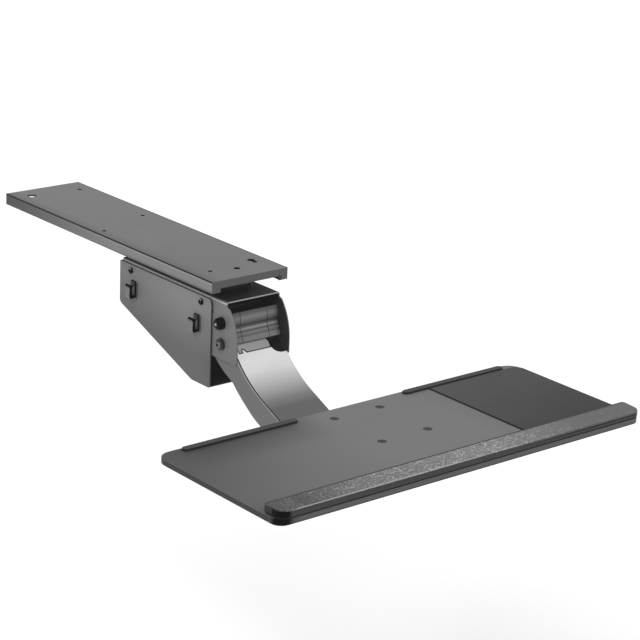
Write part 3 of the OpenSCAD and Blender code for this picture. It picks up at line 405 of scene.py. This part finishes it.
tones = {
    "track": (0.163, 0.163, 0.166),
    "bracket": (0.155, 0.155, 0.158),
    "cover": (0.238, 0.238, 0.241),
    "hinge": (0.170, 0.170, 0.173),
    "arm": (0.108, 0.108, 0.111),
    "steel": (0.100, 0.100, 0.102),
    "zinc": (0.40, 0.40, 0.41),
    "endPlate": (0.30, 0.30, 0.305),
    "bolt": (0.16, 0.16, 0.165),
    "spring": (0.05, 0.05, 0.052),
    "black": (0.012, 0.012, 0.012),
    "dark": (0.045, 0.045, 0.047),
    "screw": (0.007, 0.007, 0.007),
    "cap": (0.003, 0.003, 0.003),
    "nylon": (0.72, 0.70, 0.64),
    "board": (0.163, 0.163, 0.166),
    "pad": (0.082, 0.082, 0.084),
    "palm": (0.280, 0.280, 0.283),
}


# marks: mostly painted light and painted shade; each is a place of the finish, its share of the colour, and
# MULTIPLY where it shades what is there already;
# a later mark covers an earlier one
trackHoles = (  # holes ringed with painted shade: middle and radius
    (0.044, 0.230, 0.0025), (0.044, 0.057, 0.0025), (-0.052, 0.019, 0.0025), (-0.038, -0.225, 0.0025),
    (0.0027, -0.234, 0.0040), (0.044, -0.213, 0.00475), (-0.0405, 0.236, 0.00625))
holeRim = 0.0010


# a ring of painted shade round a hole
def ring(f, x, y, r):
    return (f.x - x) * (f.x - x) + (f.y - y) * (f.y - y) < (r + holeRim) ** 2


def trackPaintedLightAndShade(f):
    side = abs(f.x) > 0.0668
    front = f.facing[1] < -0.7
    highlightLine = (f.z > -0.0044) * (f.z < -0.0018) * f.shift(f.y, 0.12, -0.15)
    keySlot = (abs(f.x - 0.044) < 0.0035) * (f.y > -0.2262) * (f.y < -0.213)
    return [
        (f.shift(f.x, -0.045, -0.066), 0.75, "MULTIPLY"),  # painted shade on the top beside the left edge
        (f.shift(f.y, 0.06, -0.10), 0.94, "MULTIPLY"),  # painted shade on the front half
        (abs(f.x) > 0.0650, 0.25),  # painted shade on the bends between top and sides
        # painted light on the sides
        (side, 1.08),
        (side * f.shift(f.y, -0.03, 0.269), 0.22),  # painted shade on the back half of the sides
        (side * highlightLine, 1.38),  # painted highlight under the bend
        (side * (f.z > -0.0018), 0),  # painted shade, a dark line along the bend
        (side * f.shift(f.z, -0.0125, -0.0178) * f.shift(f.y, 0.02, -0.06), 0.28),  # painted shade along the lower edge
        # painted shade on faces turned to the front
        (front, 0.50),
        (front * (f.x > 0.0515) * (f.x < 0.0565) * (f.z < -0.0100), 0.12),  # painted shade in the slit in the front lip
        ((f.z < -0.0005) * (abs(f.x) < 0.0664) * (f.y > -0.2685), 0.06),  # painted shade inside
        # painted shade round the holes
        (sum(ring(f, *hole) for hole in trackHoles), 0),
        # painted shade in the key slot
        (keySlot, 0),
    ]


def bracketPaintedLightAndShade(f):
    lip = (f.facing[1] < -0.6) * (f.z > -0.0330)
    outside = f.x < -0.0440
    inner = (f.x > 0.0440) * (f.x < 0.0460)
    return [
        (f.shift(f.z, -0.040, -0.120), 0.75),  # painted shade on the cheeks, darker downwards
        ((abs(f.x) < 0.0460) * (f.facing[1] > -0.6), 0.08),  # painted shade on the top plate and all inner faces
        (inner, 0.11),  # painted shade on the right cheek's inner face
        # painted highlight along the front lip
        (lip, 2.2),
        (outside * (f.z > -0.0318), 0.6),  # painted shade on the upper half of the left bend
        (outside * (f.z > -0.0341) * (f.z < -0.0318), 2.7),  # painted highlight, a light line along it
    ]


clipPlaces = ((-0.2135, -0.0642), (-0.0569, -0.0571))  # middle and top of each cable clip


def nearClips(f, low, high, top, bottom):
    return sum(
        (f.y > y + low) * (f.y < y + high) * (f.z < z - top) * (f.z > z - bottom)
        for y, z in clipPlaces)


def coverPaintedLightAndShade(f):
    inside = (abs(f.x) < 0.0492) * (f.facing[2] > -0.1)
    clipShade = (f.x < -0.0495) * nearClips(f, -0.0095, -0.0054, 0.001, 0.0275)
    return [
        (f.shift(f.z, -0.036, -0.125), 0.47, "MULTIPLY"),  # painted shade, darker downwards
        (f.shift(f.y, -0.175, -0.040), 0.76, "MULTIPLY"),  # painted shade, darker to the back
        (f.shift(f.y, -0.212, -0.240), 0.90, "MULTIPLY"),  # painted shade at the front
        # painted shade inside
        (inside, 0.10),
        (f.facing[1] < -0.6, 0.15),  # painted shade on faces turned to the front
        ((f.facing[2] > 0.7) * (abs(f.x) > 0.0484), 1.2),  # painted highlight on the top edges
        # painted shadow beside the clips
        (clipShade, 0.45, "MULTIPLY"),
    ]


def clipPaintedLightAndShade(f):
    outward = f.facing[0] < -0.75
    return [
        (f.facing[0] > -0.75, 0),  # painted shade, all other faces black without gloss
        (outward * (f.x < -0.0598), 12.0),  # painted light on the tongue
        (outward * (f.x > -0.0560) * nearClips(f, -0.0040, 0.0055, 0.0090, 0.0215), 15.0),  # painted light on the plate behind it
    ]


def capMarks(f):
    return [(0.7, 0)]  # less gloss all over


def screwPaintedLightAndShade(f):
    lit = (f.facing[2] > 0.15) * (abs(f.facing[1]) < 0.45) * (f.facing[0] < -0.50)
    return [
        # painted shade, the head black without gloss but where lit
        (1 - lit, 0),
        (lit * (abs(f.x) > 0.0515), 40.0),  # painted highlight on the upper rim of the head
    ]


def armPaintedLightAndShade(f):
    rim = (f.x < -0.0433) * (f.x > -0.0449) * (f.facing[2] > 0.2) * (f.z < -0.100)
    return [
        (f.x > -0.0430, 0.10),  # painted shade on all but the left cheek's outer face
        # painted highlight along the upper edge
        (rim, 3.0),
    ]


def skinPaintedShade(f):
    return [
        (abs(f.facing[0]) > 0.7, 0.03),  # painted shade on the sides
        ((f.facing[2] < -0.3) * (f.facing[1] > 0.3), 0.08),  # painted shade on the underside
        (f.x < -0.0403, 0.05),  # painted shade, a dark line at the left edge
    ]


hingeSpan = (-0.0925, -0.0490)  # bottom and top of the ribbed cover
hingeLightAndShade = [  # painted light on the ribs and painted shade in the grooves, upwards
    (0.00, 0.06), (0.04, 0.17), (0.18, 0.17), (0.20, 0.09), (0.22, 0.17), (0.32, 0.17), (0.35, 0.04),
    (0.39, 0.22), (0.44, 0.30), (0.48, 0.08), (0.52, 0.030), (0.60, 0.045), (0.70, 0.14), (0.80, 0.20),
    (0.90, 0.10), (1.00, 0.02)]


def hingePaintedShade(f):
    return [
        (f.shift(f.x, 0.036, 0.044), 0.35),  # painted shade at the right end
        (f.shift(f.x, -0.036, -0.044), 0.50),  # painted shade at the left end
        (abs(f.facing[0]) > 0.7, 0.05),  # painted shade on the end faces
        (f.facing[1] > 0.1, 0.10),  # painted shade on the back
    ]


def boardPaintedShade(f):
    edge = f.facing[2] < 0.5
    corner = f.shift(f.x, -0.288, -0.296) * f.shift(f.y, -0.718, -0.724)
    beforeStrip = f.shift(abs(f.x + 0.179), 0.130, 0.070) * f.shift(f.y, -0.560, -0.492)
    besidePad = (f.x > 0.1460) * (f.x < 0.1486) * (f.y > -0.698) * (f.y < -0.492) * (f.z > -0.1325)
    return [
        (f.shift(f.x, -0.06, -0.30) * f.shift(f.y, -0.66, -0.50, 0.52, 0.76), 0.30),  # painted shade on the left half, deeper towards the back
        (f.shift(f.x, 0.100, 0.148), 0.90, "MULTIPLY"),  # painted shade towards the pad
        # painted shade on the edges
        (edge, 0.42),
        (edge * (f.z < -0.1375), 0.12),  # painted shade on the lower part of the edge
        (edge * f.shift(f.x, -0.275, -0.300), 0.10),  # painted shade on the left edge
        (corner, 0),  # painted shade, the front left corner black without gloss
        # painted shadow in front of the left strip
        (beforeStrip, 0.52, "MULTIPLY"),
        (f.facing[2] < -0.5, 0.35),  # painted shade on the underside
        (besidePad, 0.10),  # painted shadow, a dark line along the pad
    ]


def stripPaintedLight(f):
    return [(f.facing[2] > 0.75, 5.0)]  # painted light on the top


def padPaintedShade(f):
    return [
        (f.shift(f.x, 0.150, 0.300), 0.82, "MULTIPLY"),  # painted shade, darker to the right
        (f.shift(f.y, -0.50, -0.67), 0.72, "MULTIPLY"),  # painted shade, darker to the front
        (f.facing[2] < 0.5, 0.12),  # painted shade on the edge
    ]


def palmPaintedLightAndShade(f):
    side = f.facing[2] < 0.35
    right = f.shift(f.x, 0.06, 0.20)
    frontRim = (f.facing[1] < -0.3) * (f.facing[2] > 0.60) * (f.facing[2] < 0.90)
    return [
        (f.shift(f.x, 0.02, -0.20), 0.70, "MULTIPLY"),  # painted shade on the left half
        (f.shift(f.x, -0.19, -0.25), 0.51, "MULTIPLY"),  # painted shade at the left end
        (f.shift(f.x, 0.05, 0.22) * 0.85, 0.385),  # smoother to the right, where the grain's painted glints and shade fade out
        # painted shade on the sides
        (side, 0.13),
        (side * 0.3, 0),  # painted shade on the sides, with less gloss there
        (side * (f.z > -0.1246) * right, 0.27),  # painted light, a lighter band over a seam
        (side * (f.z < -0.1248) * (f.z > -0.1262) * right, 0),  # seam
        # painted highlight along the front edge
        (frontRim * f.shift(f.x, 0.12, -0.02) * f.shift(f.x, -0.292, -0.280), 1.3),
        (f.y > -0.7014, 0.12),  # painted shade, a dark line along the back
        ((f.facing[2] < 0.92) * (f.facing[0] < -0.25), 0.05),  # painted shade on the left end's rim
        ((f.facing[2] < 0.60) * f.shift(f.x, -0.290, -0.296) * (f.y < -0.7160), 0),  # painted shade, the front left corner black without gloss
    ]


def dressNodes():
    finishes = {
        paintedSteel("powderCoatTrack", tones["track"], trackPaintedLightAndShade): ["track_channel"],
        paintedSteel("powderCoatBracket", tones["bracket"], bracketPaintedLightAndShade): ["mechanism_bracket"],
        paintedSteel("powderCoatPlates", tones["bracket"]): ["head_bracket", "tray_bracket"],
        paintedSteel("paintArm", tones["arm"], armPaintedLightAndShade, edgeLighten=0.2): ["arm_channel"],
        paintedSteel("paintInner", tones["steel"]): ["tie_link", "carriage_plate"],
        satinSheet("satinSkin", skinPaintedShade): ["arm_skin"],
        platedSteel("satinPlate", tones["endPlate"], rough=0.5): ["skin_end_plate"],
        platedSteel("zincPlate", tones["zinc"]): [
            "swivel_bolt", "swivel_nut", "upper_axle", "lower_pivot_nut", "head_upper_pin", "head_lower_pin",
            "tilt_bolt", "tray_nuts"],
        platedSteel("darkPlate", tones["bolt"], rough=0.42): ["lower_pivot_bolt"],
        paintedSteel("screwFinish", tones["screw"], screwPaintedLightAndShade, rough=0.3, edge=0.0002): ["cover_screws"],
        platedSteel("springSteel", tones["spring"], rough=0.45): ["lift_springs", "spring_bar", "spring_pin"],
        paintedSteel("blackenedSteel", tones["black"], rough=0.4, edge=0.0003): [
            "pivot_flanges", "lower_spacers", "pin_clips", "link_spacers", "swivel_spacer"],
        paintedSteel("phosphateSteel", tones["dark"], rough=0.4, edge=0.0003): ["tray_screws"],
        mouldedPlastic("coverPlastic", tones["cover"], coverPaintedLightAndShade): ["bracket_cover"],
        mouldedPlastic("hingePlastic", tones["hinge"], hingePaintedShade, hingeLightAndShade, rough=0.42): [
            "hinge_cover_left", "hinge_cover_middle", "hinge_cover_right"],
        mouldedPlastic("blackPlastic", tones["black"], rough=0.5, gloss=0.12): ["tilt_knob", "swivel_washer"],
        mouldedPlastic("capPlastic", tones["cap"], capMarks, rough=0.4, gloss=0.12): ["axle_caps"],
        mouldedPlastic("clipPlastic", tones["black"], clipPaintedLightAndShade, rough=0.4): ["cable_clips"],
        mouldedPlastic("nylon", tones["nylon"], rough=0.45): ["arm_bushes", "tilt_washers"],
        mouldedPlastic("darkNylon", tones["dark"], rough=0.45): ["glide_shoes"],
        softRubber("blackRubber", tones["black"]): ["rear_stops", "palm_rest_base"],
        softRubber("stripRubber", tones["black"], stripPaintedLight): ["back_strip_left", "back_strip_right"],
        laminate("laminate", tones["board"], boardPaintedShade): ["tray_board"],
        wovenCloth("padCloth", tones["pad"], padPaintedShade): ["mouse_pad"],
        grainedSkin("palmSkin", tones["palm"], palmPaintedLightAndShade): ["palm_rest"],
    }
    for material, names in finishes.items():
        for name in names:
            nodes[name].data.materials.clear()
            nodes[name].data.materials.append(material)
    return {material.name: material for material in finishes}


def clearSelection():
    if bpy.context.object and bpy.context.object.mode != "OBJECT":
        bpy.ops.object.mode_set(mode="OBJECT")
    bpy.ops.object.select_all(action="DESELECT")


def addBlock(name, low, high):
    clearSelection()
    low, high = Vector(low), Vector(high)
    bpy.ops.mesh.primitive_cube_add(size=1, location=(low + high) / 2)
    piece = bpy.context.object
    piece.name = piece.data.name = name
    piece.scale = high - low
    bpy.ops.object.transform_apply(location=True, rotation=True, scale=True)
    return piece


def pickEdges(piece, test):  # opens the piece for editing with the edges that pass selected
    bpy.context.view_layer.objects.active = piece
    bpy.ops.object.mode_set(mode="EDIT")
    bpy.ops.mesh.select_mode(type="EDGE")
    bpy.ops.mesh.select_all(action="DESELECT")
    cage = bmesh.from_edit_mesh(piece.data)
    for edge in cage.edges:
        edge.select_set(test(*(v.co for v in edge.verts)))
    bmesh.update_edit_mesh(piece.data)


def bevelEdges(piece, width, steps, test):
    pickEdges(piece, test)
    bpy.ops.mesh.bevel(offset=width, segments=steps, profile=0.5, affect="EDGES")
    bpy.ops.object.mode_set(mode="OBJECT")


flush = 0.00001  # an edge nearer than this lies in a plane


def upright(a, b):
    return abs(a.x - b.x) < flush and abs(a.y - b.y) < flush


def finishPiece(piece, body, slot, material, *replaced):
    piece.data.materials.clear()
    piece.data.materials.append(material)
    clearSelection()
    piece.select_set(True)
    bpy.context.view_layer.objects.active = piece
    bpy.ops.object.shade_smooth_by_angle(angle=math.radians(40))
    piece.select_set(False)
    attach(piece, body)
    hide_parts(*replaced)
    print(piece.name, "made")


# mouse pad: cloth on foam with a soft rim and one round corner
mousePad = {"rim": 0.0008, "corner": 0.014}


def makeMousePad(s):
    low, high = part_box("mouse_pad")
    piece = addBlock("mousePad", low, high)
    bevelEdges(piece, s["corner"], 10,
               lambda a, b: upright(a, b) and a.x > high.x - flush and a.y > high.y - flush)
    bevelEdges(piece, s["rim"], 3, lambda a, b: min(a.z, b.z) > high.z - flush)
    finishPiece(piece, "tray", "pad_cloth", finishes["padCloth"], "mouse_pad")


# palm rest: grained skin over foam, with a crisp front edge and round ends
palmRest = {
    "endCorner": 0.0142,
    "backCorner": 0.0048,
    "frontEdge": 0.0024,
    "backEdge": 0.0045,
    "crown": 0.0006,  # how far the top lies under the CAD solid's
}


def makePalmRest(s):
    low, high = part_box("palm_rest")
    high.z -= s["crown"]
    piece = addBlock("palmRest", low, high)
    bevelEdges(piece, s["endCorner"], 12, lambda a, b: upright(a, b) and a.y < low.y + flush)
    bevelEdges(piece, s["backCorner"], 6, lambda a, b: upright(a, b) and a.y > high.y - flush)
    top = high.z - flush
    bevelEdges(piece, s["backEdge"], 5, lambda a, b: min(a.z, b.z) > top and min(a.y, b.y) > high.y - flush)
    bevelEdges(piece, s["frontEdge"], 4,
               lambda a, b: min(a.z, b.z) > top and min(a.y, b.y) < high.y - s["backEdge"] * 1.5)
    finishPiece(piece, "tray", "palm_leather", finishes["palmSkin"], "palm_rest")


# back strips: low rubber ribs with round ends
backStrip = {"end": 0.00545, "rim": 0.0012}


def makeBackStrips(s):
    for node, name in (("back_strip_left", "backStripLeft"), ("back_strip_right", "backStripRight")):
        low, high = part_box(node)
        piece = addBlock(name, low, high)
        bevelEdges(piece, s["end"], 8, upright)
        bevelEdges(piece, s["rim"], 4, lambda a, b: min(a.z, b.z) > high.z - flush)
        finishPiece(piece, "tray", "black_rubber", finishes["stripRubber"], node)


# lift springs: one round wire each, curled about the axle
springs = {
    "wire": 0.0012,  # half the wire's thickness
    "mean": 0.0069,  # axle to the wire's middle
    "pitch": 0.0029,
    "turns": 10.5,
    "steps": 20,  # points in a turn
    "outer": 0.040,  # x of the outer end
    "axle": (-0.2678, -0.0635),  # y and z
    "pinLeg": 0.020,
    "barLeg": 0.028,
}


def makeSprings(s):
    count = round(s["turns"] * s["steps"])
    inner = s["outer"] - s["turns"] * s["pitch"]
    route = [(inner, s["pinLeg"], -s["mean"])]
    for i in range(count + 1):
        a = math.radians(-90 - i * 360 / s["steps"])
        route.append((inner + i * s["pitch"] / s["steps"], s["mean"] * math.cos(a), s["mean"] * math.sin(a)))
    route.append((s["outer"], s["barLeg"], s["mean"]))
    wire = bpy.data.curves.new("liftSprings", "CURVE")
    wire.dimensions = "3D"
    wire.bevel_depth = s["wire"]
    wire.bevel_resolution = 3
    wire.use_fill_caps = True
    for side in (-1, 1):
        line = wire.splines.new("POLY")
        line.points.add(len(route) - 1)
        for point, (x, y, z) in zip(line.points, route):
            point.co = (side * x, y + s["axle"][0], z + s["axle"][1], 1)
    piece = bpy.data.objects.new("liftSprings", wire)
    bpy.context.scene.collection.objects.link(piece)
    clearSelection()
    piece.select_set(True)
    bpy.context.view_layer.objects.active = piece
    bpy.ops.object.convert(target="MESH")
    finishPiece(bpy.context.object, "mechanism", "zinc_steel", finishes["springSteel"], "lift_springs")


makeStudio(studio)
print("studio set")
finishes = dressNodes()
print("finishes on the frame")
makeMousePad(mousePad)
makePalmRest(palmRest)
makeBackStrips(backStrip)
makeSprings(springs)
